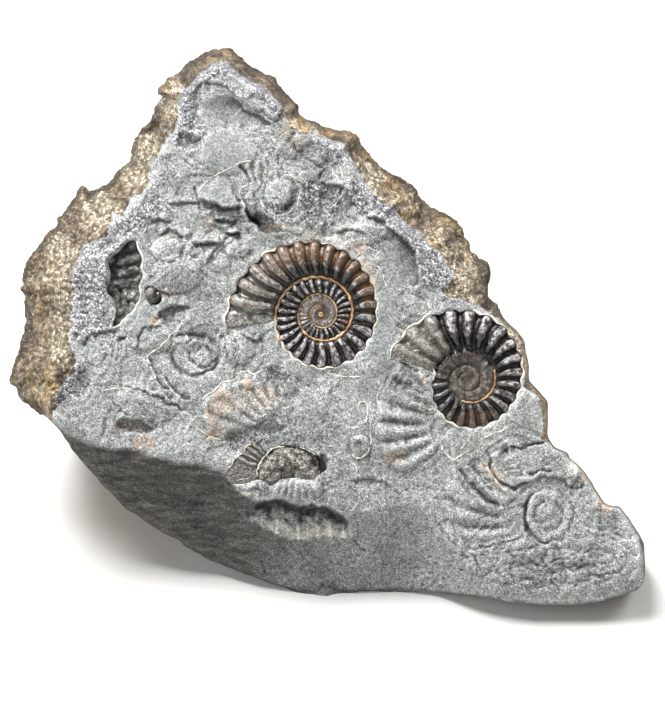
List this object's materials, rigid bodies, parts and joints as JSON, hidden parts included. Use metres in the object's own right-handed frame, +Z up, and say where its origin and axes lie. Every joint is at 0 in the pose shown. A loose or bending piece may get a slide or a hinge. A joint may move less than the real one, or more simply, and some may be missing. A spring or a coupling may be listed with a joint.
{
  "type": "fossil ammonite cluster in limestone",
  "caption": "Free-standing block of grey limestone with ribbed coiled ammonite shells lying in its leaning, cleaned face; a display specimen that rests on a flat base.",
  "frame": {"origin": "on the ground under the centre of the bounding box", "axes": "+Z up, +X along the longest side to the viewer's right, -Y towards the viewer, whom the fossil face leans back from"},
  "size_m": [0.12, 0.0768, 0.0854],
  "materials": {
    "limestone": "matt fine-grained grey limestone with a brown weathered crust",
    "dark_shell": "polished dark brown fossil shell",
    "olive_shell": "polished olive-brown fossil shell",
    "mottled_shell": "broken black and grey fossil shell",
    "black_shell": "satin black fossil shell",
    "bead_shell": "glossy brown shell grain"
  },
  "bodies": {
    "root": {"stone": "limestone", "ammonite_centre": "dark_shell", "ammonite_right": "olive_shell", "ammonite_lower": "mottled_shell", "ammonite_left": "black_shell", "shell_bead": "bead_shell"}
  },
  "joints": []
}
